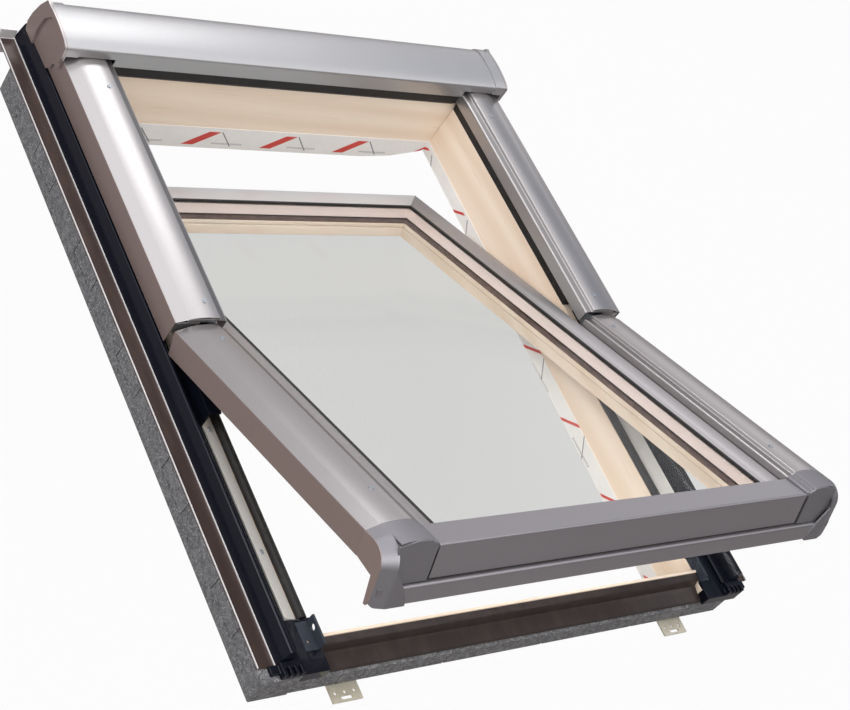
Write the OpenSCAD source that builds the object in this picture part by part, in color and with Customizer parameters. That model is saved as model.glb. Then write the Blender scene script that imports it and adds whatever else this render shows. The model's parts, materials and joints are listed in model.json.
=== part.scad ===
// Centre-pivot roof window: a pine frame with insulation collar and metal covers,
// and a glazed sash that swings on two arc hinges.
// X runs across the window, Y runs up the roof slope and Z points out of the roof.
// The origin is the middle of the frame, on the seat plane of the mounting brackets.

/* [Frame] */
// Width over the outer covers
frame_w = 780; // [660:10:1140]
// Length from the collar's lower edge to the top of the hood
frame_l = 980; // [780:10:1400]
// Depth of the timber frame
timber_h = 95; // [90:1:110]
// Width of a timber jamb
jamb_t = 38; // [34:1:38]
// Width of the head timber
head_t = 56; // [40:1:60]
// Height of the insulation collar
collar_h = 46; // [40:1:52]
// How far the collar stands out past the side covers
collar_out = 32; // [28:1:45]

/* [Covers] */
// Width of a side cover
cover_w = 75; // [74:1:76]
// Height of a frame cover's outer edge above the timber frame
cover_rise = 40; // [38:1:43]
// How much lower the sash covers lie than the frame covers
cover_lap = 6; // [5:0.5:8]
// Sheet thickness of the covers
cover_t = 1.6; // [1:0.1:2]
// Height of a frame cover's outer wall
cover_wall = 37; // [36:1:39]
// Depth of the hood from its front edge to its back
hood_d = 90; // [80:1:100]
// Thickness of a hood end cap
hood_cap_t = 20; // [16:1:24]

/* [Sash] */
// Opening angle of the sash as it stands
open_angle = 23; // [0:1:60]
// Distance of the hinge line below the middle of the frame
pivot_drop = 48; // [0:1:80]
// Height of the hinge line above the frame covers' outer edge
pivot_rise = 8; // [7:0.5:9]
// Width of a sash stile
stile_w = 42; // [40:1:46]
// Depth of the sash timber
sash_h = 52; // [50:1:56]
// Thickness of one glass pane
pane_t = 4; // [4:0.5:5]
// Space between the two panes
pane_gap = 16; // [14:1:16]
// Gap between the sash timber and the frame jambs
sash_gap = 6; // [5:0.5:8]

/* [Fittings] */
// Middle radius of the arc hinge
arc_r = 36; // [34:1:37]
// Radial play between an arc shoe and its groove
arc_play = 0.05; // [0.02:0.01:0.1]
// Radius of a lock bolt
bolt_r = 3.5; // [3:0.1:4]
// Distance of each mounting bracket from the middle of the window
bracket_x = 286; // [240:1:300]
// Length of the handle lever
lever_l = 110; // [80:1:130]

/* [Hidden] */
$fn = 48;
eps = 0.5;

// Frame planes
half_w = frame_w / 2;
end_y = frame_l / 2;
cover_in = half_w - cover_w;
jamb_out = half_w - 24;
jamb_in = jamb_out - jamb_t;
collar_x = half_w + collar_out;
rebate_d = 32;
timber_top = collar_h + rebate_d;
timber_lo = timber_top - timber_h;
head_top = timber_top + 13;
cover_z = timber_top + cover_rise;
head_out = end_y - 24;
head_in = head_out - head_t;
sill_out = -end_y + 16;
sill_in = -end_y + 39;
bracket_t = 2.5;
collar_end_y = end_y - 36;
flashing_end_y = end_y + 24;

// Hinge line
pivot_y = -pivot_drop;
pivot_z = cover_z + pivot_rise;

// Lower half of a jamb: the rebate that the sash closes over
rail_low_y = sill_out + 54;
rebate_y = pivot_y - 46;
rebate_z = collar_h;
sill_top = collar_h - 10;

// Sash planes, with the sash closed
sash_cover_z = cover_z - cover_lap;
sash_x = jamb_in - sash_gap;
sight_x = sash_x - stile_w;
sash_top_y = head_in - 10;
sight_top_y = sash_top_y - 37;
sash_low_y = -end_y + 2;
rail_in_y = sash_low_y + 76;
rail_step_y = sill_in + 9.5;
glass_top = cover_z - 22;
unit_t = 2 * pane_t + pane_gap;
glass_low = glass_top - unit_t;
inner_seal_t = 7;
lip_z = glass_low - inner_seal_t;
timber_sash_top = glass_top - 2;
timber_sash_lo = timber_sash_top - sash_h;
rail_step_z = timber_sash_lo + 16;
glass_lap = 12;
glass_x = sight_x + glass_lap;
glass_y1 = sight_top_y + glass_lap;
glass_y0 = sash_low_y + 12;
rail_cover_y1 = -end_y + 26;
front_y = -end_y - 14;
drip_y = front_y - 6;

// Sash covers and their ends
cover_end_y = pivot_y + 9;
lower_top_y = cover_end_y - 0.6;
cap_y = rail_cover_y1;
cap_lo = cover_z - 78;
sash_wall = cover_wall - 4;

// Lock
bolt_y = sill_out + 38;
bolt_z = cover_z - 63;
bolt_len = 36;
bolt_back = 1.5;
handle_y = rail_in_y - 12;

// Colours
pine = "burlywood";
metal = "silver";
black = "#1b1c22";
brown = "#4a3a35";
foam = "#8b8c90";
steel = "#9aa0a8";
glass_tint = [0.8, 0.82, 0.8, 0.35];

// Mirrors the right-hand half to the left for s = -1
module side(s) {
    mirror([s < 0 ? 1 : 0, 0, 0]) children();
}

// Extrudes an X-Z outline along Y
module along_y(y0, y1) {
    translate([0, y1, 0]) rotate([90, 0, 0]) linear_extrude(y1 - y0) children();
}

// Extrudes a Y-Z outline along X
module along_x(x0, x1) {
    translate([x0, 0, 0]) rotate([90, 0, 90]) linear_extrude(x1 - x0) children();
}

// Box between two corners
module box(lo, hi) {
    translate(lo) cube(hi - lo);
}

// Puts a part of the closed sash where the sash stands
module on_sash() {
    translate([0, pivot_y, pivot_z])
        rotate([-open_angle, 0, 0])
            translate([0, -pivot_y, -pivot_z]) children();
}

// Points of a circular arc in the plane, from angle a0 to a1
function arc_pts(c, r, a0, a1, n = 8) =
    [for (i = [0:n]) let (a = a0 + (a1 - a0) * i / n) [c[0] + r * cos(a), c[1] + r * sin(a)]];

// Rectangular ring lying flat, used by the glass edge parts
module flat_ring(x_out, y_out0, y_out1, band, z0, z1) {
    difference() {
        box([-x_out, y_out0, z0], [x_out, y_out1, z1]);
        box([-x_out + band, y_out0 + band, z0 - eps], [x_out - band, y_out1 - band, z1 + eps]);
    }
}

// Side cover

bend_u = 20;
bend_v = 6.5;
crown_u = 42;
crown_v = 9;
step_u = 61;
step_v = 7.8;
bead_u = 64;
bead_v = 3.2;
inner_v = 18;

// Outline of a side cover: u runs inward from the outer wall, v up from its outer edge
function cover_outer(wall) = [
    [0, -wall], [0, -1.2], [0.5, 0.1], [bend_u - 3, bend_v - 1.2], [bend_u, bend_v],
    [crown_u - 12, crown_v - 0.7], [crown_u, crown_v], [crown_u + 10, crown_v - 0.2],
    [step_u, step_v], [step_u + 1, step_v - 1], [bead_u - 1, bead_v + 0.6], [bead_u, bead_v],
    [cover_w - 3, bead_v - 1], [cover_w - 0.8, bead_v - 1.8], [cover_w, bead_v - 3.6], [cover_w, -inner_v]
];
function cover_inner(wall, t) = [
    [cover_w - t, -inner_v], [cover_w - t, bead_v - 4], [cover_w - 3, bead_v - 1 - t],
    [bead_u - 1, bead_v - t], [bead_u - 1 - t, bead_v - t / 2], [step_u - t / 2, step_v - t],
    [crown_u + 10, crown_v - 0.2 - t], [crown_u, crown_v - t], [crown_u - 12, crown_v - 0.7 - t],
    [bend_u, bend_v - t], [bend_u - 3, bend_v - 1.2 - t], [t, -0.8], [t, -wall]
];
module cover_profile(wall, z) {
    pts = concat(cover_outer(wall), cover_inner(wall, cover_t));
    polygon([for (p = pts) [half_w - p[0], z + p[1]]]);
}

module upper_cover(s) {
    color(metal) side(s) along_y(cover_end_y, head_in + 30) cover_profile(cover_wall, cover_z);
}

module lower_cover(s) {
    color(metal) on_sash() side(s) along_y(cap_y, lower_top_y) cover_profile(sash_wall, sash_cover_z);
}

// Timber frame

module frame_head() {
    groove = 3;
    color(pine) along_x(-jamb_out, jamb_out) difference() {
        polygon([
            [head_in, timber_lo], [head_out, timber_lo], [head_out, head_top], [head_in, head_top]
        ]);
        translate([head_in + 22, timber_lo]) square([groove, 6]);
    }
}

module frame_sill() {
    chamfer = 6;
    lip_y = sill_in + 2;
    lip_top = sill_top + 18;
    color(pine) along_x(-jamb_in, jamb_in) polygon([
        [sill_out, timber_lo], [sill_in + 11, timber_lo], [sill_in + 11, sill_top - 18],
        [lip_y + 4, sill_top - 14], [lip_y + 4, lip_top], [lip_y, lip_top], [lip_y, sill_top - chamfer - 2],
        [sill_in, sill_top - chamfer], [sill_in - chamfer, sill_top], [sill_out, sill_top - 2]
    ]);
}

module frame_jamb(s) {
    groove = 3;
    color(pine) side(s) difference() {
        box([jamb_in, sill_out, timber_lo], [jamb_out, head_in, timber_top]);
        box([jamb_in - eps, sill_out - eps, rebate_z], [jamb_out + eps, rebate_y, timber_top + eps]);
        translate([jamb_in + 14, sill_out - eps, timber_lo - eps])
            cube([groove, head_in - sill_out + 2 * eps, 6 + eps]);
    }
}

// Insulation collar

seam_w = 1.6;
seam_d = 1.5;
seam_step = 168;
seam_l = 66;
seam_h = 24;

// U-shaped seams moulded into a collar's outer face
module collar_seams() {
    for (y = [-end_y + 70 : seam_step : collar_end_y - seam_l - seam_w]) {
        translate([collar_x - seam_d, y, collar_h - seam_h]) {
            cube([seam_d + eps, seam_w, seam_h + eps]);
            translate([0, seam_l, 0]) cube([seam_d + eps, seam_w, seam_h + eps]);
            cube([seam_d + eps, seam_l + seam_w, seam_w]);
        }
    }
}

// Round dimples left by the mould
module collar_dimples() {
    for (y = [-end_y + 40 : seam_step / 2 : collar_end_y - 6])
        translate([collar_x - seam_d, y, collar_h / 2 - 6]) rotate([0, 90, 0])
            cylinder(h = seam_d + eps, r = 3);
}

module collar_side(s, y0) {
    color(foam) side(s) difference() {
        along_y(y0, collar_end_y) polygon([
            [jamb_out, bracket_t], [collar_x - 3, bracket_t], [collar_x, bracket_t + 3],
            [collar_x, collar_h], [jamb_out, collar_h]
        ]);
        collar_seams();
        collar_dimples();
    }
}

module collar_left() {
    collar_side(-1, -end_y);
}

module collar_right() {
    collar_side(1, sill_out + 34);
}

module collar_top() {
    color(foam) box([-jamb_out, head_out + bracket_t, bracket_t], [jamb_out, end_y, collar_h]);
}

module collar_bottom() {
    color(foam) difference() {
        along_x(-jamb_out, half_w - 12) polygon([
            [-end_y + 3, bracket_t], [sill_out - bracket_t, bracket_t], [sill_out - bracket_t, sill_top - 3],
            [-end_y, sill_top - 4], [-end_y, bracket_t + 3]
        ]);
        for (x = [-half_w + 90 : seam_step : half_w - 90])
            box([x, -end_y - eps, bracket_t - eps], [x + seam_w, -end_y + seam_d, collar_h]);
    }
}

// Flashing and trims

lip_h = 4;
lip_t = 1.2;

module flashing_channel(s) {
    x0 = half_w + 8;
    end_t = 3;
    end_drop = 26;
    end_rise = 17;
    color(brown) side(s) union() {
        along_y(sill_out + 2, flashing_end_y) polygon([
            [x0, collar_h], [collar_x, collar_h],
            [collar_x, collar_h + lip_h], [collar_x - lip_t, collar_h + lip_h],
            [collar_x - lip_t, collar_h + lip_t], [x0 + lip_t, collar_h + lip_t],
            [x0 + lip_t, collar_h + lip_h], [x0, collar_h + lip_h]
        ]);
        box([x0, flashing_end_y - end_t, collar_h - end_drop],
            [collar_x, flashing_end_y, collar_h + end_rise]);
    }
}

module side_trim(s) {
    x1 = half_w + 7.5;
    ridge = [half_w - 3, collar_h + 26];
    pts = concat(
        [[jamb_out, collar_h], [x1, collar_h], [x1 - 0.5, collar_h + 5]],
        arc_pts(ridge, 4, 20, 160, 6),
        [[half_w - 12, collar_h + 20], [half_w - 14, collar_h + 9], [jamb_out, collar_h + 8]]
    );
    color(black) side(s) along_y(sill_out + 2, flashing_end_y) polygon(pts);
}

corner_h = 12;
corner_slot = 4;
shoe_h = 4;
keeper_w = 22;

module sill_corner(s) {
    z0 = s < 0 ? collar_h : sill_top - 3;
    y1 = sill_out + 1.5;
    color(black) side(s) difference() {
        union() {
            box([jamb_out, -end_y, z0], [half_w + 7, y1, collar_h + corner_h]);
            box([half_w + 6, -end_y + 6, collar_h], [half_w + 19, y1, collar_h + corner_h / 2]);
            box([jamb_in, -end_y, sill_top - 3], [jamb_out, sill_out, collar_h + shoe_h]);
            box([jamb_in + keeper_w + 0.5, sill_out - eps, rebate_z],
                [jamb_out, rail_low_y, rebate_z + shoe_h]);
        }
        for (i = [0:2])
            translate([jamb_out + 6 + 2 * corner_slot * i, -end_y - eps, collar_h + corner_h / 2])
                cube([corner_slot, 10, corner_h]);
    }
}

module sill_cladding() {
    t = 2;
    top = sill_top + 14;
    color(brown) along_x(-jamb_in + 1, jamb_in - 1) polygon([
        [sill_in, sill_top - 6], [sill_in + t, sill_top - 8], [sill_in + t, top + t], [sill_in - 8, top + t],
        [sill_in - 12, sill_top + 4], [sill_out + 4, sill_top + 2], [sill_out - 10, sill_top + 1],
        [sill_out - 12, sill_top - 3], [sill_out - 10, sill_top - 3], [sill_out - 9, sill_top - 1],
        [sill_out, sill_top - 1], [sill_out, sill_top - 2], [sill_in - 6, sill_top]
    ]);
}

// Rails, seals and keepers on the jambs

rail_w = 20;
rail_h = 11;
rail_low = 2;
rail_slope = atan2(rail_h - rail_low, rail_w);

module jamb_rail(s) {
    color(metal) side(s) along_y(rail_low_y, rebate_y - 2) polygon([
        [jamb_out - rail_w, rebate_z], [jamb_out, rebate_z], [jamb_out, rebate_z + rail_h],
        [jamb_out - rail_w, rebate_z + rail_low]
    ]);
}

module jamb_gasket(s) {
    c = [jamb_in + 9, rebate_z + 2];
    color(black) side(s) along_y(rail_low_y, rebate_y - 2)
        polygon(concat([[jamb_in + 2, rebate_z], [jamb_in + 16, rebate_z]], arc_pts(c, 6, 0, 180, 8)));
}

module upper_gasket(s) {
    top = cover_z - inner_v;
    color(black) side(s) along_y(pivot_y + arc_r + 20, head_in - 1) polygon([
        [cover_in + 3, top - 3], [sash_x + 3, timber_sash_top + 1.5], [jamb_in, timber_top],
        [jamb_in + 12, timber_top], [sash_x + 9, top + 1], [cover_in + 3, top]
    ]);
}

module head_gasket() {
    color(black) along_x(-cover_in, cover_in) polygon([
        [head_in - 6, head_top + 6], [head_in - 2, head_top], [head_in + 14, head_top],
        [head_in + 14, cover_z - 5], [head_in - 6, cover_z - 5]
    ]);
}

module keeper(s) {
    t = 3;
    y0 = sill_out + 12;
    color(steel) side(s) difference() {
        union() {
            box([jamb_in + 2, y0, rebate_z], [jamb_in + 2 + t, y0 + 38, bolt_z + 9]);
            box([jamb_in + 2, y0, rebate_z], [jamb_in + keeper_w, y0 + 38, rebate_z + t]);
        }
        translate([jamb_in, bolt_y, bolt_z]) rotate([0, 90, 0]) cylinder(h = 4 * t, r = bolt_r + 1);
        translate([jamb_in + 14, y0 + 12, rebate_z - eps]) cylinder(h = t + 1, r = 2.2);
    }
}

// Hood

hood_y0 = head_in - 10;
hood_rise = 33;

// Outline of the hood: fascia, rounded brow, gently curved roof and back
function hood_outline(grow) = concat(
    [[hood_y0 - grow, cover_z - 3]],
    arc_pts([hood_y0 + 4, cover_z + 20], 4 + grow, 180, 100, 4),
    arc_pts([hood_y0 + 50, cover_z - 195], 225 + grow, 100, 84, 6),
    arc_pts([hood_y0 + hood_d - 14, cover_z + hood_rise - 20], 14 + grow, 70, 0, 4),
    [[hood_y0 + hood_d + grow, timber_top + 2]]
);
module hood_profile(grow, low) {
    pts = hood_outline(grow);
    polygon(concat(pts, [[hood_y0 + hood_d - cover_t, timber_top + 2]],
        [for (i = [0 : len(pts) - 3]) let (p = hood_outline(grow - cover_t - low)[len(pts) - 2 - i]) p],
        [[hood_y0 + cover_t + low, cover_z - 3]]));
}

// Room under the hood for the two side covers
module cover_room() {
    for (s = [-1, 1]) side(s)
        box([cover_in - 0.3, hood_y0 - 5, timber_top], [half_w + 0.3, hood_y0 + 12, cover_z + crown_v + 0.6]);
}

module hood() {
    color(metal) difference() {
        along_x(-half_w + hood_cap_t - 2, half_w - hood_cap_t + 2) hood_profile(0, 0);
        cover_room();
    }
}

// Side view of a hood end cap: a plate inside a rim that is wide at the back
function cap_back() = [
    [hood_y0 + hood_d - 8, cover_z + hood_rise - 2], [hood_y0 + hood_d + 3, cover_z + 12],
    [hood_y0 + hood_d + 11, cover_z - 10], [hood_y0 + hood_d + 14, cover_z - 28],
    [hood_y0 + hood_d + 9, timber_top]
];
module hood_cap(s) {
    plate = 2.6;
    rim = 6;
    x0 = half_w + 0.3;
    top = hood_outline(1.5);
    front = [for (i = [0 : len(top) - 7]) top[i]];
    color(metal) side(s) union() {
        difference() {
            along_x(half_w - hood_cap_t + 2, half_w + 0.4) hood_profile(1.5, 1);
            cover_room();
        }
        along_x(x0, x0 + plate) polygon(concat(front, cap_back(), [[hood_y0 + 24, timber_top + 2]],
            arc_pts([hood_y0 + 6, cover_z - 26], 10, -20, 90, 4), [[hood_y0 - 1.5, cover_z - 14]]));
        along_x(x0, x0 + rim) polygon(concat(front, cap_back(), [
            [hood_y0 + 72, timber_top], [hood_y0 + 76, cover_z - 18], [hood_y0 + 71, cover_z + 8],
            [hood_y0 + 58, cover_z + 23], [hood_y0 + 40, cover_z + 26], [hood_y0 + 8, cover_z + 18],
            [hood_y0 + 2, cover_z - 3]
        ]));
    }
}

// Arc hinge

shoe_t = 7;
housing_x0 = jamb_in + 12;
housing_x1 = jamb_out - 3;
housing_top = cover_z - 6;
shoe_depth = 9;
arm_x0 = jamb_in + 2;
arm_x1 = housing_x0 - 2;
shoe_a0 = -75;
shoe_a1 = -10;
arm_top = 9;

// Flat ring around the hinge line, in the Y-Z plane
module arc_ring(x0, x1, r0, r1) {
    translate([x0, pivot_y, pivot_z]) rotate([0, 90, 0]) difference() {
        cylinder(h = x1 - x0, r = r1, $fn = 96);
        translate([0, 0, -eps]) cylinder(h = x1 - x0 + 2 * eps, r = r0, $fn = 96);
    }
}

module hinge_housing(s) {
    half = arc_r + shoe_t / 2 + 4;
    color(black) side(s) difference() {
        box([housing_x0, pivot_y - half, timber_top], [housing_x1, pivot_y + half, housing_top]);
        arc_ring(housing_x0 - eps, housing_x0 + shoe_depth + 1, arc_r - shoe_t / 2, arc_r + shoe_t / 2);
    }
}

module hinge_arm(s) {
    r1 = arc_r + shoe_t / 2 - arc_play;
    r0 = arc_r - shoe_t / 2 + arc_play;
    reach = 60;
    shoe_mid = (shoe_a0 + shoe_a1) / 2;
    color(steel) on_sash() side(s) {
        intersection() {
            arc_ring(arm_x1 - eps, housing_x0 + shoe_depth, r0, r1);
            along_x(arm_x1 - eps, housing_x0 + shoe_depth) translate([pivot_y, pivot_z]) polygon([
                [0, 0], reach * [cos(shoe_a0), sin(shoe_a0)], reach * [cos(shoe_mid), sin(shoe_mid)],
                reach * [cos(shoe_a1), sin(shoe_a1)]
            ]);
        }
        difference() {
            translate([arm_x0, pivot_y, pivot_z]) rotate([0, 90, 0])
                cylinder(h = arm_x1 - arm_x0, r = r1, $fn = 96);
            translate([arm_x0 - eps, pivot_y - reach, pivot_z - arm_top])
                cube([arm_x1 - arm_x0 + 2 * eps, 2 * reach, 2 * reach]);
        }
        box([sash_x, pivot_y - 16, timber_sash_top - 9], [arm_x0 + eps, pivot_y + 16, timber_sash_top - 1]);
    }
}

// Film and fixings

film_t = 0.8;
film_hang = 25;
film_lap = 18;
film_curve = 22;

// The film's band on the head, its lower edge curved up into the corners
function head_film_half() = [
    [jamb_in, timber_lo + film_lap], [jamb_in, timber_lo - film_hang + film_curve],
    [jamb_in - 0.15 * half_w, timber_lo - film_hang + film_curve / 4],
    [jamb_in - 0.3 * half_w, timber_lo - film_hang]
];

module vapour_film() {
    foot_y = sill_in + 11;
    half = head_film_half();
    n = len(half);
    color("whitesmoke") union() {
        for (s = [-1, 1]) side(s)
            along_x(jamb_in - film_t, jamb_in) polygon([
                [foot_y, timber_lo - film_hang], [head_in, timber_lo - film_hang + film_curve],
                [head_in, timber_lo + film_lap], [foot_y, timber_lo + 2]
            ]);
        along_y(head_in - film_t, head_in)
            polygon(concat(half, [for (i = [0 : n - 1]) let (p = half[n - 1 - i]) [-p[0], p[1]]]));
        box([-jamb_in, foot_y, timber_lo - film_hang], [jamb_in, foot_y + film_t, timber_lo + 2]);
    }
}

bracket_w = 44;
bracket_reach = 22;
bracket_hole_r = 2.25;
bracket_pitch = 14;
screw_y = end_y + 10;
slot_y = end_y + 17;

// One bracket at the foot of the frame, with its outer edge towards -Y
module bracket(x, wall_y) {
    difference() {
        union() {
            box([x - bracket_w / 2, -end_y - bracket_reach, 0], [x + bracket_w / 2, wall_y, bracket_t]);
            box([x - bracket_w / 2, wall_y - bracket_t, 0], [x + bracket_w / 2, wall_y, sill_top - 6]);
        }
        for (i = [-1:1])
            translate([x + i * bracket_pitch, -screw_y, -eps])
                cylinder(h = bracket_t + 1, r = bracket_hole_r);
        for (dx = [-6, 6])
            translate([x + dx, -slot_y, -eps]) cylinder(h = bracket_t + 1, r = bracket_hole_r);
        box([x - 6, -slot_y - bracket_hole_r, -eps], [x + 6, -slot_y + bracket_hole_r, bracket_t + eps]);
    }
}

module mounting_brackets() {
    color("lightgoldenrodyellow") for (s = [-1, 1]) {
        bracket(s * bracket_x, sill_out);
        mirror([0, 1, 0]) bracket(s * bracket_x, -head_out);
    }
}

// Low domed screw head standing on a surface
module screw_head(r, h) {
    difference() {
        cylinder(h = h, r = r);
        translate([-r / 2, -0.4, h - 0.5]) cube([r, 0.8, 1]);
    }
}

cover_screw_u = 47;
cover_screw_z = crown_v;

module frame_screws() {
    color(steel) for (s = [-1, 1]) side(s) {
        translate([half_w - cover_screw_u, cover_end_y + 26, cover_z + cover_screw_z]) screw_head(3, 1.2);
        translate([half_w - cover_screw_u, head_in - 60, cover_z + cover_screw_z]) screw_head(3, 1.2);
        for (y = [rail_low_y + 90, rebate_y - 60])
            translate([jamb_out, y, rebate_z + rail_h]) rotate([0, -rail_slope, 0])
                translate([-rail_w / 2, 0, 0]) screw_head(3, 1.5);
    }
}

module sash_screws() {
    color(steel) on_sash() for (s = [-1, 1]) side(s)
        for (y = [lower_top_y - 34, cap_y + 60])
            translate([half_w - cover_screw_u, y, sash_cover_z + cover_screw_z]) screw_head(3, 1.2);
}

// Sash timber

groove_w = 1.5;
groove_z = lip_z - 8;

module sash_stile(s) {
    color(pine) on_sash() side(s) difference() {
        along_y(sash_low_y, sash_top_y) polygon([
            [sight_x, timber_sash_lo], [sash_x, timber_sash_lo], [sash_x, timber_sash_top],
            [glass_x + 1, timber_sash_top], [glass_x + 1, lip_z], [sight_x, lip_z],
            [sight_x, groove_z + groove_w], [sight_x + groove_w, groove_z + groove_w],
            [sight_x + groove_w, groove_z], [sight_x, groove_z]
        ]);
        box([sight_x - eps, sash_low_y - eps, timber_sash_lo - eps],
            [sash_x + eps, rail_step_y, rail_step_z]);
        translate([sash_x - bolt_len - 1, bolt_y, bolt_z]) rotate([0, 90, 0])
            cylinder(h = bolt_len + 2, r = bolt_r + 0.05);
    }
}

module sash_top_rail() {
    color(pine) on_sash() along_x(-sight_x, sight_x) polygon([
        [sight_top_y, timber_sash_lo], [sash_top_y, timber_sash_lo], [sash_top_y, timber_sash_top],
        [glass_y1 + 1, timber_sash_top], [glass_y1 + 1, lip_z], [sight_top_y, lip_z],
        [sight_top_y, groove_z + groove_w], [sight_top_y + groove_w, groove_z + groove_w],
        [sight_top_y + groove_w, groove_z], [sight_top_y, groove_z]
    ]);
}

module sash_bottom_rail() {
    color(pine) on_sash() along_x(-sight_x, sight_x) polygon([
        [sash_low_y, rail_step_z], [rail_step_y, rail_step_z], [rail_step_y, timber_sash_lo],
        [rail_in_y, timber_sash_lo], [rail_in_y, lip_z], [glass_y0 - 1, lip_z],
        [glass_y0 - 1, timber_sash_top], [sash_low_y, timber_sash_top]
    ]);
}

// Glazing

module outer_pane() {
    color(glass_tint) on_sash() box([-glass_x, glass_y0, glass_top - pane_t], [glass_x, glass_y1, glass_top]);
}

module inner_pane() {
    color(glass_tint) on_sash() box([-glass_x, glass_y0, glass_low], [glass_x, glass_y1, glass_low + pane_t]);
}

module spacer_bar() {
    color("rosybrown") on_sash()
        flat_ring(glass_x, glass_y0, glass_y1, 10, glass_low + pane_t, glass_top - pane_t);
}

module inner_gasket() {
    color(brown) on_sash() flat_ring(glass_x, glass_y0, glass_y1, 11, lip_z, glass_low);
}

seal_h = 3;

module outer_gasket() {
    color(black) on_sash()
        flat_ring(glass_x - 8, rail_cover_y1, glass_y1 - 8, 5, glass_top, glass_top + seal_h);
}

// Outline of a glazing bead: a from the glass side outward, b up from the glass
bead_in = 4;
bead_w = 29;
bead_h = 9;
bead_pts = [
    [bead_in, 0], [bead_in + bead_w - 1, 0], [bead_in + bead_w - 1, bead_h - 2],
    [bead_in + bead_w - 3, bead_h],
    [bead_in + bead_w - 12, bead_h - 1], [bead_in + 8, bead_h - 3.4], [bead_in + 6, bead_h - 4.6],
    [bead_in, seal_h]
];

module glazing_bead_side(s) {
    color(metal) on_sash() side(s) difference() {
        along_y(rail_cover_y1, sight_top_y + bead_in + bead_w)
            polygon([for (p = bead_pts) [sight_x + p[0], glass_top + p[1]]]);
        translate([sight_x, sight_top_y, glass_top - 1]) rotate([0, 0, 45])
            translate([-10, 0, 0]) cube([90, 60, 20]);
    }
}

module glazing_bead_top() {
    color(metal) on_sash() difference() {
        along_x(-sight_x - bead_in - bead_w, sight_x + bead_in + bead_w)
            polygon([for (p = bead_pts) [sight_top_y + p[0], glass_top + p[1]]]);
        for (s = [-1, 1]) side(s)
            translate([sight_x, sight_top_y, glass_top - 1]) rotate([0, 0, 45])
                translate([-10, -60, 0]) cube([90, 60, 20]);
    }
}

// Bottom of the sash

rail_cover_x = cover_in - 1;
rail_front_lo = cover_z - 51;

module bottom_rail_cover() {
    t = 2;
    top = sash_cover_z - 1;
    color(metal) on_sash() along_x(-rail_cover_x, rail_cover_x) polygon(concat(
        [[rail_cover_y1, glass_top], [rail_cover_y1, top - 1], [rail_cover_y1 - 1.5, top]],
        arc_pts([front_y + 3, top - 2], 3, 60, 180, 4),
        [[front_y, rail_front_lo], [front_y + t, rail_front_lo], [front_y + t, top - t],
         [rail_cover_y1 - t, top - t],
         [rail_cover_y1 - t, glass_top]]
    ));
}

module drip_rail() {
    t = 2;
    hi = rail_front_lo - 2;
    nose = 3.5;
    color(metal) on_sash() difference() {
        along_x(-half_w + bend_u, half_w - bend_u) polygon(concat(
            [[front_y + 12, hi], [front_y + 1, hi]],
            arc_pts([drip_y + nose, hi - nose], nose, 70, 180, 5),
            [[drip_y, cap_lo + 2], [drip_y + t, cap_lo + 2], [drip_y + t, hi - 5], [front_y + 12, hi - 5]]
        ));
        for (s = [-1, 1]) side(s) along_y(leg_y - 1, front_y + 13) polygon(leg_outline());
    }
}

cap_r = 30;
leg_r = 9;
leg_y = drip_y - 1;
leg_back = 14;
plate_x = cover_in + 3;
plate_y = front_y - 1;
shell = 2.4;
bend_y = leg_y + cap_r;
bend_z = sash_cover_z + bend_v - cap_r;

// Outer strip of the cover: distance inward and drop below the bend line
strip = [for (p = cover_outer(0)) if (p[0] <= bend_u && p[1] > -1.3) [p[0], bend_v - p[1]]];
edge_drop = strip[0][1];

// Front view of a leg, which widens downward
function leg_outline() = concat(
    [[half_w - bend_u, bend_z], [half_w, bend_z]],
    arc_pts([half_w - leg_r, cap_lo + leg_r], leg_r, 0, -90, 5),
    [[half_w - 47, cap_lo], [half_w - 45, cap_lo + 10], [half_w - 37, cap_lo + 25],
     [half_w - 27, cap_lo + 39]]
);

// Side view of a cap at its outer edge
function cap_side() = concat(
    [[cap_y, sash_cover_z - 1.2]],
    arc_pts([bend_y, bend_z], cap_r - edge_drop, 90, 180, 8),
    [[leg_y + edge_drop, cap_lo + leg_r], [leg_y + edge_drop + 4, cap_lo + 1], [leg_y + leg_back, cap_lo + 1],
     [leg_y + leg_back + 3, sash_cover_z - sash_wall - 4], [cap_y, sash_cover_z - sash_wall + 1]]
);

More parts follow.
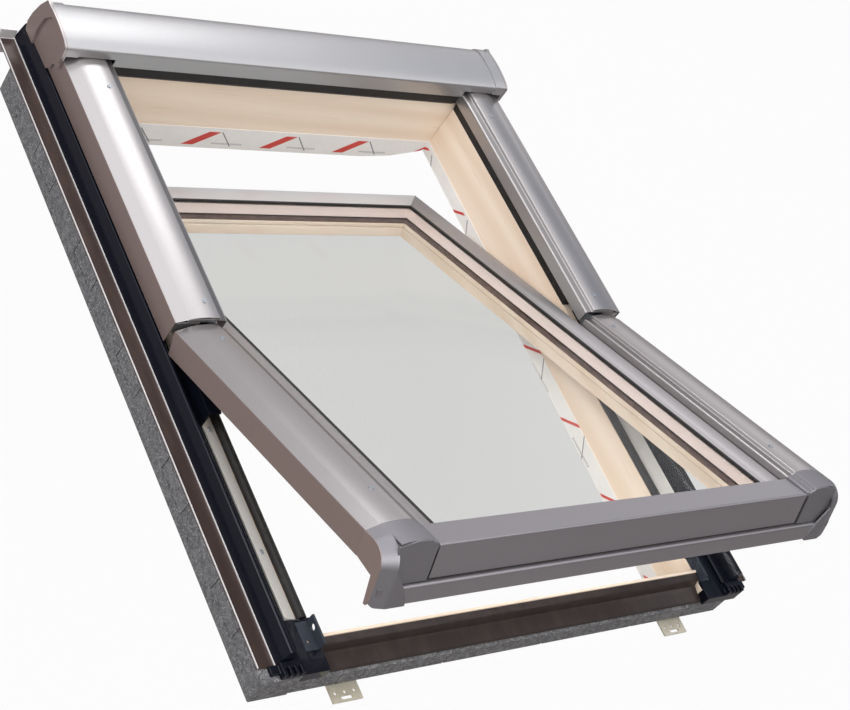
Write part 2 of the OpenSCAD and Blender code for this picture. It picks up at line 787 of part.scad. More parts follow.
module corner_cap(s) {
    n = len(strip);
    front = concat([[half_w + 1, leg_y + edge_drop]], [for (p = strip) [half_w - p[0], leg_y + p[1]]],
        [[half_w - 60, leg_y]]);
    back = [for (i = [0 : n + 1]) front[n + 1 - i] + [0, shell]];
    color(metal) on_sash() side(s) union() {
        along_y(bend_y, cap_y) difference() {
            cover_profile(6, sash_cover_z);
            translate([0, sash_cover_z - 28]) square([half_w - cover_w / 2, 20]);
        }
        translate([0, bend_y, bend_z]) rotate([90, 0, 90]) intersection() {
            rotate_extrude() polygon(concat([for (p = strip) [cap_r - p[1], half_w - p[0]]],
                [for (i = [1 : n]) let (p = strip[n - i]) [cap_r - p[1] - shell, half_w - p[0]]]));
            translate([-2 * cap_r, 0, half_w - 2 * bend_u]) cube([2 * cap_r, 2 * cap_r, 3 * bend_u]);
        }
        intersection() {
            translate([0, 0, cap_lo - 1]) linear_extrude(cap_r + bend_z - cap_lo)
                polygon(concat(front, back));
            along_y(leg_y - 1, plate_y + cap_r) polygon(leg_outline());
        }
        along_x(half_w - shell, half_w) polygon(cap_side());
        along_y(plate_y, plate_y + shell) polygon(concat(
            [[half_w - bend_u + 2, rail_front_lo - 1], [half_w - bend_u + 2, sash_cover_z + bend_v - 3],
             [half_w - crown_u, sash_cover_z + crown_v], [half_w - step_u, sash_cover_z + step_v]],
            arc_pts([plate_x + 6, sash_cover_z + bead_v - 5], 6, 90, 180, 4),
            [[plate_x, rail_front_lo - 1]]
        ));
        along_y(plate_y + shell - eps, bend_y + eps) difference() {
            cover_profile(6, sash_cover_z);
            translate([0, sash_cover_z - 28]) square([half_w - cover_w / 2, 20]);
            translate([half_w - bend_u, sash_cover_z - 30]) square([bend_u + 1, 60]);
        }
    }
}

// Handle and lock

handle_t = 6;

module handle_base() {
    color(steel) on_sash() difference() {
        box([-42, handle_y - 11, timber_sash_lo - handle_t], [42, handle_y + 11, timber_sash_lo]);
        translate([0, handle_y, timber_sash_lo - handle_t - eps]) cylinder(h = handle_t, r = 7.05);
        for (s = [-1, 1])
            translate([s * 32, handle_y, timber_sash_lo - handle_t - eps]) cylinder(h = 3, r = 3);
    }
}

module handle_lever() {
    neck = 16;
    z0 = timber_sash_lo - handle_t;
    color(steel) on_sash() translate([0, handle_y, 0]) union() {
        translate([0, 0, z0 - neck]) cylinder(h = neck + handle_t - 1, r = 7);
        translate([0, 0, z0 - neck - 8]) cylinder(h = 8, r = 10);
        translate([0, -8, z0 - neck - 8]) cube([lever_l, 16, 8]);
        translate([lever_l, 0, z0 - neck - 8]) cylinder(h = 8, r = 8);
    }
}

module lock_bolt(s) {
    color(steel) on_sash() side(s)
        translate([sash_x - bolt_len, bolt_y, bolt_z]) rotate([0, 90, 0])
            cylinder(h = bolt_len - bolt_back, r = bolt_r);
}

frame_head();
frame_sill();
frame_jamb(-1);  // frame_jamb_left
frame_jamb(1);  // frame_jamb_right
collar_top();
collar_bottom();
collar_left();
collar_right();
flashing_channel(-1);  // flashing_channel_left
flashing_channel(1);  // flashing_channel_right
side_trim(-1);  // side_trim_left
side_trim(1);  // side_trim_right
sill_corner(-1);  // sill_corner_left
sill_corner(1);  // sill_corner_right
sill_cladding();
jamb_rail(-1);  // jamb_rail_left
jamb_rail(1);  // jamb_rail_right
jamb_gasket(-1);  // jamb_gasket_left
jamb_gasket(1);  // jamb_gasket_right
upper_gasket(-1);  // upper_gasket_left
upper_gasket(1);  // upper_gasket_right
head_gasket();
keeper(-1);  // keeper_left
keeper(1);  // keeper_right
upper_cover(-1);  // upper_cover_left
upper_cover(1);  // upper_cover_right
hood();
hood_cap(-1);  // hood_cap_left
hood_cap(1);  // hood_cap_right
hinge_housing(-1);  // hinge_housing_left
hinge_housing(1);  // hinge_housing_right
vapour_film();
mounting_brackets();
frame_screws();
sash_top_rail();
sash_bottom_rail();
sash_stile(-1);  // sash_stile_left
sash_stile(1);  // sash_stile_right
outer_pane();
inner_pane();
spacer_bar();
inner_gasket();
outer_gasket();
glazing_bead_top();
glazing_bead_side(-1);  // glazing_bead_left
glazing_bead_side(1);  // glazing_bead_right
bottom_rail_cover();
drip_rail();
lower_cover(-1);  // lower_cover_left
lower_cover(1);  // lower_cover_right
corner_cap(-1);  // corner_cap_left
corner_cap(1);  // corner_cap_right
hinge_arm(-1);  // hinge_arm_left
hinge_arm(1);  // hinge_arm_right
handle_base();
sash_screws();
handle_lever();
lock_bolt(-1);  // lock_bolt_left
lock_bolt(1);  // lock_bolt_right
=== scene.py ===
import json
import math
import bpy
from mathutils import Matrix, Vector


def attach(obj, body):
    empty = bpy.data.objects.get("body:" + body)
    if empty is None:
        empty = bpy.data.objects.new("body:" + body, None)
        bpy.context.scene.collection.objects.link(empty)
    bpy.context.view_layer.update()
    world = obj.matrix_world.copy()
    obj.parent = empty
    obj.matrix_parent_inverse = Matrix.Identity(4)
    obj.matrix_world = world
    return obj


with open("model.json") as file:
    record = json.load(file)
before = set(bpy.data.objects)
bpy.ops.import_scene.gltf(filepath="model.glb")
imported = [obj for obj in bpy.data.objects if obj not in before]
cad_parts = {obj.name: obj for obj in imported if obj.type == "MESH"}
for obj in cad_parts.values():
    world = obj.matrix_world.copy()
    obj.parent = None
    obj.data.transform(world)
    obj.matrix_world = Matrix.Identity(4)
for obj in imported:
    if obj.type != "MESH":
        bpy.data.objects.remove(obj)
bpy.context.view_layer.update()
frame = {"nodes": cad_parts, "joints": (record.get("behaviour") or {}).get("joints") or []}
nodes = frame["nodes"]


# Shader maths

class Sock:
    """A shader output that takes part in ordinary arithmetic."""

    def __init__(self, tree, output):
        self.tree = tree
        self.output = output

    def math(self, operation, *others):
        return make(self.tree, "ShaderNodeMath", {"operation": operation},
                    dict(enumerate((self,) + others)))[0]

    def __add__(self, other):
        return self.math("ADD", other)

    __radd__ = __add__

    def __mul__(self, other):
        return self.math("MULTIPLY", other)

    __rmul__ = __mul__

    def __sub__(self, other):
        return self.math("SUBTRACT", other)

    def __rsub__(self, other):
        return make(self.tree, "ShaderNodeMath", {"operation": "SUBTRACT"}, {0: other, 1: self})[0]

    def __gt__(self, other):
        return self.math("GREATER_THAN", other)

    def __lt__(self, other):
        return self.math("LESS_THAN", other)


class Made:
    """A node just added: its outputs come by number or name."""

    def __init__(self, tree, node):
        self.tree = tree
        self.node = node

    def __getitem__(self, key):
        return Sock(self.tree, self.node.outputs[key])


def make(tree, kind, settings=None, inputs=None):
    """Adds a node, sets its settings first, then its input values or links."""
    node = tree.nodes.new(kind)
    for key, value in (settings or {}).items():
        setattr(node, key, value)
    for key, value in (inputs or {}).items():
        if isinstance(value, Sock):
            tree.links.new(value.output, node.inputs[key])
        else:
            node.inputs[key].default_value = value
    return Made(tree, node)


def smooth_step(tree, value, low, high):
    """0 below low, 1 above high, smooth between."""
    return make(tree, "ShaderNodeMapRange", {"interpolation_type": "SMOOTHSTEP"},
                {"Value": value, "From Min": low, "From Max": high})["Result"]


# The Mix node's colour sockets go by number, because their names repeat
MIX_LOW = 6
MIX_HIGH = 7
MIX_RESULT = 2


def blend_colours(tree, factor, low, high):
    """Colour low where factor is 0, high where it is 1."""
    low, high = (c if isinstance(c, Sock) else (*c, 1.0) for c in (low, high))
    return make(tree, "ShaderNodeMix", {"data_type": "RGBA"},
                {"Factor": factor, MIX_LOW: low, MIX_HIGH: high})[MIX_RESULT]


def toned(colour, factor, lift=0.0):
    """A colour made darker or lighter, with a little grey added."""
    return tuple(c * factor + lift for c in colour)


class Finish:
    """A material under construction, with the few nodes that most finishes share."""

    def __init__(self, name):
        self.material = bpy.data.materials.new(name)
        self.material.use_nodes = True
        self.tree = self.material.node_tree
        self.tree.nodes.clear()
        self.place = self.node("ShaderNodeTexCoord")["Object"]

    def node(self, kind, settings=None, inputs=None):
        return make(self.tree, kind, settings, inputs)

    def stretched(self, scale):
        """Object coordinates scaled along each axis."""
        return self.node("ShaderNodeMapping", None, {"Vector": self.place, "Scale": scale})["Vector"]

    def noise(self, scale, detail=3.0, rough=0.55, at=None):
        return self.node("ShaderNodeTexNoise", None,
                         {"Vector": at or self.place, "Scale": scale, "Detail": detail,
                          "Roughness": rough})["Fac"]

    def cell_tone(self, scale, channel):
        """A random value for each cell, from one channel of its colour."""
        cells = self.node("ShaderNodeTexVoronoi", {"feature": "F1"},
                          {"Vector": self.place, "Scale": scale})
        return self.node("ShaderNodeSeparateColor", None, {0: cells["Color"]})[channel]

    def cell_edge(self, scale):
        """The distance from the nearest edge between cells."""
        return self.node("ShaderNodeTexVoronoi", {"feature": "DISTANCE_TO_EDGE"},
                         {"Vector": self.place, "Scale": scale})["Distance"]

    def axes(self):
        split = self.node("ShaderNodeSeparateXYZ", None, {0: self.place})
        return split["X"], split["Y"], split["Z"]

    def band(self, value, low, high):
        """0 below low, 1 above high, smooth between."""
        return smooth_step(self.tree, value, low, high)

    def strip(self, value, start, stop):
        """1 between the start band and the stop band, 0 outside them."""
        return self.band(value, *start) * (1.0 - self.band(value, *stop))

    def blend(self, factor, low, high):
        return blend_colours(self.tree, factor, low, high)

    def bump(self, height, distance, strength):
        return self.node("ShaderNodeBump", None,
                         {"Height": height, "Distance": distance, "Strength": strength})["Normal"]

    def surface(self, colour, **sockets):
        """Ends the material in one Principled shader."""
        inputs = {key.replace("_", " "): value for key, value in sockets.items()}
        inputs["Base Color"] = colour
        return self.close(self.node("ShaderNodeBsdfPrincipled", None, inputs))

    def close(self, shader):
        self.node("ShaderNodeOutputMaterial", None, {"Surface": shader[0]})
        return self.material


# Finishes

# Scale of the pine's grain along and across the fibres
GRAIN_ALONG = 2.2
GRAIN_ACROSS = 46.0


def pine_finish(name, along, shade=1.0):
    """Clear varnished pine, with its grain along one axis. A shade below 1 darkens all of it, as painted
    shade.
    """
    f = Finish(name)
    scale = [GRAIN_ACROSS] * 3
    scale["XYZ".index(along)] = GRAIN_ALONG
    grain_at = f.stretched(scale)
    fibre = f.noise(6.0, 4.0, 0.6, grain_at)
    warp = f.noise(2.6, 2.0, 0.5, f.stretched([s * 0.3 for s in scale]))
    rings = f.node("ShaderNodeTexWave", {"wave_type": "BANDS", "bands_direction": "DIAGONAL"},
                   {"Vector": grain_at, "Scale": 0.32, "Distortion": 5.0, "Detail": 1.0,
                    "Detail Scale": 0.8})["Fac"]
    pale = f.blend(warp, toned((0.85, 0.69, 0.54), shade), toned((0.91, 0.79, 0.66), shade))
    ringed = f.blend(rings * 0.3, pale, toned((0.70, 0.50, 0.34), shade))
    dark_fibre = f.band(fibre, 0.54, 0.76) * 0.3
    colour = f.blend(dark_fibre, ringed, toned((0.64, 0.44, 0.3), shade))
    return f.surface(colour, Roughness=0.42 + fibre * 0.12, Coat_Weight=0.15,
                     Normal=f.bump(fibre + rings * 0.4, 0.0002, 0.5))


# Where the painted brown reflection and shade on outer walls, and the painted shade in a cover's groove,
# begin and end, in metres out from the window's middle line
COVER_WALL = (0.3890, 0.3899)
COVER_GROOVE_START = (0.3176, 0.3182)
COVER_GROOVE_STOP = (0.3256, 0.3264)
HOOD_CAP_PLATE_START = (0.3921, 0.3924)
HOOD_CAP_PLATE_STOP = (0.3934, 0.3937)
HOOD_CAP_RIM = (0.3957, 0.3960)


def metal_finish(name, tint, rough=0.3, metallic=0.85, wall=None, grooved=False, rimmed=False):
    """Metallic lacquer: fine flakes in a smooth coat. With a wall colour, a cover's outer walls,
    or a hood cap's plate and rim, take it as a painted brown reflection and shade, and the groove
    beside a cover's inner edge can take painted shade."""
    f = Finish(name)
    cloud = f.noise(9.0, 2.0, 0.5)
    grain = f.cell_tone(2600.0, "Red") * 0.7 + cloud * 0.3
    colour = f.blend(grain, toned(tint, 0.88), toned(tint, 1.08))
    if wall:
        across = f.axes()[0].math("ABSOLUTE")
        if rimmed:
            plate = f.strip(across, HOOD_CAP_PLATE_START, HOOD_CAP_PLATE_STOP)
            outside = plate + f.band(across, *HOOD_CAP_RIM)
        else:
            outside = f.band(across, *COVER_WALL)
        # The outer walls, or the hood cap's plate and rim, are painted brown: painted reflection and shade
        colour = f.blend(outside, colour, f.blend(grain, toned(wall, 0.85), toned(wall, 1.1)))
        if grooved:
            # The groove beside the cover's inner edge is darkened: painted shade
            groove = f.strip(across, COVER_GROOVE_START, COVER_GROOVE_STOP)
            colour = f.blend(groove * 0.8, colour, toned(tint, 0.4))
    return f.surface(colour, Metallic=metallic, Roughness=rough + cloud * 0.06 - 0.03,
                     Normal=f.bump(f.noise(1400.0, 2.0), 0.00004, 0.25))


# The channels' rolled lips lie just below their top, and their end plates at the upper end
CHANNEL_TOP = 0.05
LIP_START = CHANNEL_TOP - 0.0024
LIP_FULL = CHANNEL_TOP - 0.0014
END_PLATE = (0.5095, 0.5105)
BARE_METAL = (0.66, 0.64, 0.64)


def sheet_finish(name, tint, lipped=False):
    """Brown coated sheet with faint scuffs; rolled lips and end plates are bare pale metal."""
    f = Finish(name)
    scuff = f.noise(60.0, 5.0, 0.65, f.stretched((1.0, 0.15, 1.0)))
    colour = f.blend(f.band(scuff, 0.4, 0.7), toned(tint, 0.7), tint)
    if lipped:
        along, outward = f.axes()[1:]
        bare = f.band(outward, LIP_START, LIP_FULL) + f.band(along, *END_PLATE)
        colour = f.blend(bare.math("MINIMUM", 1.0), colour, BARE_METAL)
    return f.surface(colour, Metallic=0.35, Roughness=0.3 + scuff * 0.15,
                     Normal=f.bump(scuff, 0.0001, 0.3))


def plastic_finish(name, tint, rough=0.12):
    """Moulded black plastic with a slight orange peel."""
    f = Finish(name)
    peel = f.noise(220.0, 2.0)
    dust = f.noise(35.0, 5.0, 0.7)
    colour = f.blend(f.band(dust, 0.5, 0.8) * 0.4, tint, toned(tint, 1.8, 0.002))
    return f.surface(colour, Roughness=rough + dust * 0.12, Specular_IOR_Level=0.22,
                     Normal=f.bump(peel, 0.00005, 0.3))


FOAM_BEADS = 260.0


def foam_finish(name):
    """Moulded bead foam: pressed beads of several greys."""
    f = Finish(name)
    tone = f.cell_tone(FOAM_BEADS, "Red")
    edge = f.cell_edge(FOAM_BEADS)
    cloud = f.noise(14.0, 3.0)
    colour = f.blend(tone * 0.75 + cloud * 0.25, (0.065, 0.065, 0.068), (0.24, 0.24, 0.245))
    # Darker lines in the grooves between the beads: painted shade
    colour = f.blend(f.band(edge, 0.0, 0.09), (0.05, 0.05, 0.052), colour)
    return f.surface(colour, Roughness=0.75, Normal=f.bump(f.band(edge, 0.0, 0.2), 0.0006, 0.6))


def rubber_finish(name, tint):
    """Soft seal with some dust on it."""
    f = Finish(name)
    dust = f.noise(90.0, 4.0, 0.7)
    colour = f.blend(f.band(dust, 0.45, 0.75), tint, toned(tint, 1.8, 0.008))
    return f.surface(colour, Roughness=0.5 + dust * 0.2, Normal=f.bump(dust, 0.00008, 0.4))


def glass_finish(name):
    """Clear pane that lets light through to what lies behind it."""
    f = Finish(name)
    haze = f.noise(1.6, 2.0)
    colour = f.blend(haze, (0.984, 0.985, 0.983), (0.988, 0.988, 0.986))
    pane = f.node("ShaderNodeBsdfPrincipled", None,
                  {"Base Color": colour, "Roughness": 0.0, "IOR": 1.06, "Transmission Weight": 1.0})
    through = f.node("ShaderNodeBsdfTransparent", None, {"Color": (0.93, 0.94, 0.93, 1.0)})
    shadow = f.node("ShaderNodeLightPath")["Is Shadow Ray"]
    return f.close(f.node("ShaderNodeMixShader", None, {0: shadow, 1: pane[0], 2: through[0]}))


# The film's print, in metres: how often it repeats, its lower edge below the bracket plane
# and its height, and where the film runs along the jambs, where its strokes are narrower
PRINT_REPEAT = 0.14
PRINT_DEPTH = 0.036
PRINT_HEIGHT = 0.029
JAMB_FILM = (0.27, 0.28)
STROKE_HALF = 0.0105
STROKE_LOSS = 0.007
FALL_HALF = 0.0013
TICK_PITCH = 0.0021
TICK_WIDTH = 0.0012


def film_finish(name):
    """Pale film with a plain print of red strokes and thin dark lines."""
    f = Finish(name)
    x, y, z = f.axes()
    run = x - y
    crease = f.noise(22.0, 3.0, 0.6)
    # The paper is darker in the hollows of the crease bump: painted shade
    paper = f.blend(crease, (0.74, 0.72, 0.69), (0.88, 0.86, 0.83))

    sweep = run.math("FLOORED_MODULO", PRINT_REPEAT)
    height = z + PRINT_DEPTH
    printed = (height > 0.0) * (height < PRINT_HEIGHT)
    stroke_half = STROKE_HALF - f.band(x.math("ABSOLUTE"), *JAMB_FILM) * STROKE_LOSS
    stroke = ((sweep - 0.03 - height * 1.3).math("ABSOLUTE") < stroke_half) * printed
    fall = ((sweep - 0.106 + height * 0.9).math("ABSOLUTE") < FALL_HALF) * printed
    ticks = (run.math("PINGPONG", TICK_PITCH) < TICK_WIDTH) * (sweep > 0.07) * (sweep < 0.125)
    ticks = ticks * (height > 0.003) * (height < 0.0065) * (1.0 - fall)
    lines = (fall + ticks * 0.7).math("MINIMUM", 1.0)
    colour = f.blend(lines * 0.85, paper, (0.1, 0.1, 0.12))
    colour = f.blend(stroke, colour, (0.6, 0.06, 0.045))
    return f.surface(colour, Roughness=0.35, Normal=f.bump(crease, 0.002, 0.6))


def zinc_finish(name, tint):
    """Plated steel with a faint spangle."""
    f = Finish(name)
    cloud = f.noise(40.0, 3.0)
    spangle = f.cell_tone(160.0, "Green")
    colour = f.blend(spangle * 0.5 + cloud * 0.5, toned(tint, 0.8), tint)
    return f.surface(colour, Metallic=0.7, Roughness=0.34 + cloud * 0.14)


COVER_SILVER = (0.435, 0.414, 0.41)
HOOD_SILVER = (0.46, 0.455, 0.46)
# Brown painted on outer walls and hood caps: painted reflection and shade
BROWN_REFLECTION_AND_SHADE = (0.36, 0.285, 0.262)
FINISHES = {
    "pine_x": pine_finish("pine_across", "X"),
    "pine_y": pine_finish("pine_along", "Y"),
    # The sash's pine is the same pine made darker: painted shade
    "sash_pine_x": pine_finish("sash_pine_painted_shade_across", "X", 0.82),
    "sash_pine_y": pine_finish("sash_pine_painted_shade_along", "Y", 0.76),
    "cover": metal_finish("cover_lacquer", COVER_SILVER, wall=BROWN_REFLECTION_AND_SHADE, grooved=True),
    "front": metal_finish("front_lacquer", (0.33, 0.315, 0.33), 0.36, wall=BROWN_REFLECTION_AND_SHADE),
    "cap": metal_finish("cap_lacquer", (0.25, 0.243, 0.258), 0.48, wall=BROWN_REFLECTION_AND_SHADE),
    "hood": metal_finish("hood_lacquer", HOOD_SILVER, 0.36),
    "hood_cap": metal_finish("hood_cap_lacquer", HOOD_SILVER, 0.36, wall=BROWN_REFLECTION_AND_SHADE, rimmed=True),
    "bead": metal_finish("bead_metal", (0.36, 0.345, 0.35), 0.38, 0.6),
    # The top bead is the bead metal made twice as bright: painted highlight
    "top_bead": metal_finish("top_bead_painted_highlight", (0.72, 0.73, 0.74), 0.36, 0.6),
    "rail": metal_finish("jamb_rail_coat", (0.86, 0.83, 0.78), 0.34, 0.35),
    "channel": sheet_finish("channel_sheet", (0.075, 0.05, 0.043), lipped=True),
    "sill_sheet": sheet_finish("sill_sheet", (0.052, 0.038, 0.034)),
    "plastic": plastic_finish("black_plastic", (0.0045, 0.0055, 0.010)),
    "rubber": rubber_finish("black_seal", (0.008, 0.0065, 0.006)),
    "brown_seal": rubber_finish("brown_seal", (0.07, 0.04, 0.033)),
    "foam": foam_finish("bead_foam"),
    "glass": glass_finish("pane_glass"),
    "spacer": metal_finish("spacer_metal", (0.74, 0.62, 0.57), 0.4, 0.4),
    "film": film_finish("vapour_film"),
    "zinc": zinc_finish("bracket_zinc", (0.82, 0.77, 0.62)),
    "steel": zinc_finish("fitting_steel", (0.4, 0.43, 0.47)),
    "keeper": plastic_finish("keeper_coat", (0.035, 0.042, 0.055), 0.3),
    "handle": metal_finish("handle_metal", (0.6, 0.6, 0.61), 0.3, 0.9),
}

# Each finish and how the names of its nodes start; the first that fits is taken
NODE_STARTS = (
    ("pine_x", ("frame_head", "frame_sill")),
    ("pine_y", ("frame_jamb",)),
    ("sash_pine_x", ("sash_top_rail", "sash_bottom_rail")),
    ("sash_pine_y", ("sash_stile",)),
    ("foam", ("collar",)),
    ("channel", ("flashing_channel",)),
    ("sill_sheet", ("sill_cladding",)),
    ("plastic", ("side_trim", "sill_corner", "hinge_housing")),
    ("brown_seal", ("inner_gasket",)),
    ("rubber", ("head_gasket", "jamb_gasket", "outer_gasket", "upper_gasket")),
    ("hood_cap", ("hood_cap",)),
    ("hood", ("hood",)),
    ("cover", ("upper_cover", "lower_cover")),
    ("front", ("bottom_rail_cover", "drip_rail")),
    ("cap", ("corner_cap",)),
    ("top_bead", ("glazing_bead_top",)),
    ("bead", ("glazing_bead",)),
    ("rail", ("jamb_rail",)),
    ("glass", ("inner_pane", "outer_pane")),
    ("spacer", ("spacer_bar",)),
    ("film", ("vapour_film",)),
    ("zinc", ("mounting_brackets",)),
    ("keeper", ("keeper",)),
    ("handle", ("handle",)),
    ("steel", ("hinge_arm", "lock_bolt", "frame_screws", "sash_screws")),
)


def finish_of(name):
    """The finish that a node takes, from its name."""
    return next(finish for finish, starts in NODE_STARTS if name.startswith(starts))


# How far the edges of a finish are rounded, in metres; finishes not named here stay sharp
EDGE_WIDTH = {
    "pine_x": 0.001, "pine_y": 0.001, "sash_pine_x": 0.001, "sash_pine_y": 0.001,
    "cover": 0.0006, "front": 0.0006, "cap": 0.0006, "hood": 0.0008, "hood_cap": 0.0008,
    "bead": 0.0006, "top_bead": 0.0006, "rail": 0.0006, "channel": 0.0003, "sill_sheet": 0.0005,
    "plastic": 0.0012, "foam": 0.0012, "handle": 0.0012,
}
WELD_REACH = 0.00001
SHARP_ANGLE = 0.6


def soften(part, width):
    """Welds a solid's faces and rounds its edges a little, so that they catch the light."""
    bpy.ops.object.select_all(action="DESELECT")
    part.select_set(True)
    bpy.context.view_layer.objects.active = part
    bpy.ops.object.shade_smooth()
    weld = part.modifiers.new("weld", "WELD")
    weld.merge_threshold = WELD_REACH
    edge = part.modifiers.new("edge", "BEVEL")
    edge.width = width
    edge.segments = 2
    edge.limit_method = "ANGLE"
    edge.angle_limit = SHARP_ANGLE
    normals = part.modifiers.new("normals", "WEIGHTED_NORMAL")
    normals.weight = 60


for name, part in nodes.items():
    finish = finish_of(name)
    part.material_slots[0].material = FINISHES[finish]
    if finish in EDGE_WIDTH:
        soften(part, EDGE_WIDTH[finish])


# Small pieces added to the solids

sash_swing = next(joint for joint in frame["joints"] if joint["name"] == "sash_swing")
SASH_PIVOT = sash_swing["pos_m"]
OPEN_ANGLE = math.radians(-sash_swing["range_deg"][0])

# Name, reach outwards from the middle line, along the slope and out of the roof, finish,
# rounding and body. Pieces on the sash are given as they lie with the sash shut.
SIDE_PIECES = (
    ("jamb_foot_pad", (0.3282, 0.3504), (-0.4738, -0.4624), (0.0461, 0.0498), "plastic", 0.0006, "frame"),
    ("jamb_rail_stop", (0.3282, 0.3502), (-0.4236, -0.4203), (0.0461, 0.0498), "plastic", 0.0006, "frame"),
    ("cover_end_fill", (0.3300, 0.3730), (-0.0388, -0.0372), (0.1174, 0.1227), "cover", 0.0004, "frame"),
    ("hinge_pad", (0.3506, 0.3690), (-0.1500, -0.0460), (0.0776, 0.0812), "plastic", 0.0008, "frame"),
    # A black plate over the jamb's outer face beside the hinge pad, which makes that face black
    ("hinge_pad_flank", (0.3655, 0.3690), (-0.1500, -0.0460), (0.0520, 0.0800), "plastic", 0.0008, "frame"),
    ("cover_end_cheek", (0.3535, 0.3866), (-0.0388, -0.0372), (0.0980, 0.1168), "cover", 0.0004, "frame"),
    ("cap_foot_fill", (0.3435, 0.3850), (-0.5080, -0.4960), (0.0560, 0.0652), "cap", 0.0004, "sash"),
    ("cap_web", (0.3672, 0.3699), (-0.5045, -0.4812), (0.0835, 0.1150), "cap", 0.0003, "sash"),
    # A dark block behind the gap between the bottom rail cover's end and the corner cap stands in for the
    # shadow in that gap: painted shade
    ("rail_gap_shade_block", (0.3122, 0.3200), (-0.5022, -0.4985), (0.0690, 0.1080), "rubber", 0.0004, "sash"),
)


def side_piece(name, ranges, finish, round_by, body):
    """A rounded block that fills a range along each axis. One on the sash turns open with it."""
    middle = [(low + high) / 2 for low, high in ranges]
    span = [high - low for low, high in ranges]
    bpy.ops.object.select_all(action="DESELECT")
    bpy.ops.mesh.primitive_cube_add(size=1.0, location=(0.0, 0.0, 0.0))
    piece = bpy.context.object
    piece.name = name
    bpy.ops.object.mode_set(mode="EDIT")
    bpy.ops.mesh.select_all(action="SELECT")
    bpy.ops.transform.resize(value=span, center_override=(0.0, 0.0, 0.0))
    bpy.ops.transform.translate(value=middle)
    bpy.ops.mesh.bevel(offset=round_by, segments=2, affect="EDGES")
    if body == "sash":
        bpy.ops.mesh.select_all(action="SELECT")
        bpy.ops.transform.rotate(value=OPEN_ANGLE, orient_axis="X", center_override=SASH_PIVOT)
    bpy.ops.object.mode_set(mode="OBJECT")
    piece.data.materials.append(FINISHES[finish])
    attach(piece, body)


for side, sign in (("left", -1.0), ("right", 1.0)):
    for name, reach, along, outward, finish, round_by, body in SIDE_PIECES:
        across = sorted(sign * x for x in reach)
        side_piece(name + "_" + side, (across, along, outward), finish, round_by, body)


# Floor, light and camera

FLOOR_SPAN = 40.0
FLOOR_HEIGHT = -0.3
FLOOR_GLOW = 0.96


def paint_floor():
    """Pale paper: white behind the window, grey where it is seen through the glass."""
    f = Finish("studio_floor")
    cloud = f.noise(3.0, 2.0)
    grey = f.blend(cloud, (0.245, 0.23, 0.225), (0.275, 0.255, 0.25))
    paper = f.node("ShaderNodeBsdfDiffuse", None, {"Color": grey})
    path = f.node("ShaderNodeLightPath")
    seen, through = path["Is Camera Ray"], path["Is Transmission Ray"]
    shade = f.blend(through, (1.0, 1.0, 1.0), (0.68, 0.685, 0.675))
    glow = f.node("ShaderNodeEmission", None, {"Color": shade, "Strength": 1.0})
    lit = seen * FLOOR_GLOW + through * FLOOR_GLOW
    return f.close(f.node("ShaderNodeMixShader", None, {0: lit, 1: paper[0], 2: glow[0]}))


bpy.ops.object.select_all(action="DESELECT")
bpy.ops.mesh.primitive_plane_add(size=FLOOR_SPAN, location=(0.0, 0.0, FLOOR_HEIGHT))
floor = bpy.context.object
floor.name = "floor"
floor.data.materials.append(paint_floor())

world = bpy.data.worlds.new("studio")
bpy.context.scene.world = world
world.use_nodes = True
air = world.node_tree
air.nodes.clear()
look = make(air, "ShaderNodeTexCoord")["Generated"]


def toward(direction, low, high):
    """1 where the view runs along the direction, 0 away from it."""
    along = make(air, "ShaderNodeVectorMath", {"operation": "DOT_PRODUCT"},
                 {0: look, 1: direction})["Value"]
    return smooth_step(air, along, low, high)


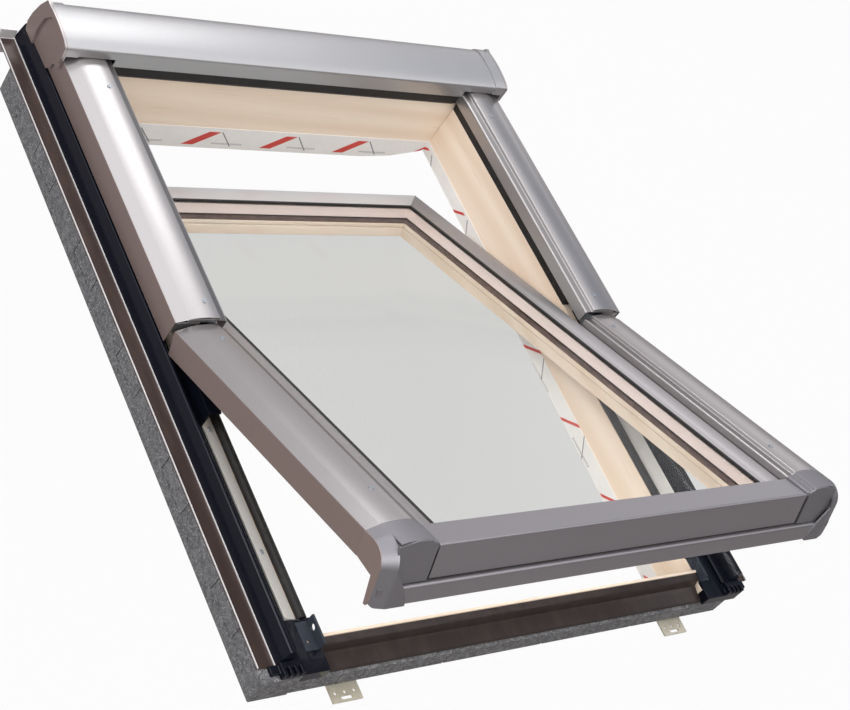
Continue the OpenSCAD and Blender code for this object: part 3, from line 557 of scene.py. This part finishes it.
# What the metal mirrors: a direction, where its patch starts and is full, and its colour
ROOM_GREY = (0.62, 0.6, 0.63)
BRIGHT_CEILING = ((0.0, 0.0, 1.0), 0.42, 0.7, (1.8, 1.8, 1.85))
DIM_PANEL = ((0.82, 0.33, 0.47), 0.9, 0.98, (0.2, 0.25, 0.33))
PALE_PANEL = ((0.78, 0.6, 0.17), 0.977, 0.996, (1.35, 1.33, 1.37))
DARK_FRONT = ((0.4, -0.91, 0.0), 0.35, 0.8, (0.2, 0.18, 0.17))
room = ROOM_GREY
for direction, low, high, colour in (BRIGHT_CEILING, DIM_PANEL, PALE_PANEL, DARK_FRONT):
    room = blend_colours(air, toward(direction, low, high), room, colour)
seen = make(air, "ShaderNodeLightPath")["Is Camera Ray"]
soft = make(air, "ShaderNodeBackground", None, {"Color": room, "Strength": 0.9})
clear = make(air, "ShaderNodeBackground", None, {"Color": (1.0, 1.0, 1.0, 1.0), "Strength": 1.0})
sky = make(air, "ShaderNodeMixShader", None, {0: seen, 1: soft[0], 2: clear[0]})
make(air, "ShaderNodeOutputWorld", None, {"Surface": sky[0]})


def soft_box(name, place, target, width, height, power):
    """A rectangular lamp that faces its target."""
    lamp = bpy.data.lights.new(name, "AREA")
    lamp.shape = "RECTANGLE"
    lamp.size = width
    lamp.size_y = height
    lamp.energy = power
    holder = bpy.data.objects.new(name, lamp)
    bpy.context.scene.collection.objects.link(holder)
    holder.location = place
    holder.rotation_mode = "QUATERNION"
    holder.rotation_quaternion = (Vector(target) - Vector(place)).to_track_quat("-Z", "Y")


soft_box("back_light", (0.95, 2.45, 2.35), (0.0, 0.0, 0.1), 1.0, 0.7, 10.0)
soft_box("left_light", (-2.7, 0.1, 1.9), (0.0, 0.0, 0.0), 2.0, 2.0, 50.0)
soft_box("front_light", (-0.6, -3.0, 2.4), (0.0, 0.0, 0.0), 2.2, 1.8, 55.0)

# The photograph's view: the camera's own directions and its place
VIEW_RIGHT = Vector((0.76583, -0.40498, 0.49949))
VIEW_DOWN = Vector((-0.03223, -0.79995, -0.59920))
VIEW_AHEAD = Vector((0.64224, 0.44279, -0.62568))
VIEW_PLACE = Vector((-1.4864, -1.1080, 1.5388))
camera_data = bpy.data.cameras.new("camera")
camera_data.sensor_width = 36.0
camera_data.lens = 72.1
camera = bpy.data.objects.new("camera", camera_data)
bpy.context.scene.collection.objects.link(camera)
stand = Matrix((VIEW_RIGHT, -VIEW_DOWN, -VIEW_AHEAD)).transposed().to_4x4()
stand.translation = VIEW_PLACE
camera.matrix_world = stand
bpy.context.scene.camera = camera
bpy.context.scene.view_settings.view_transform = "Standard"
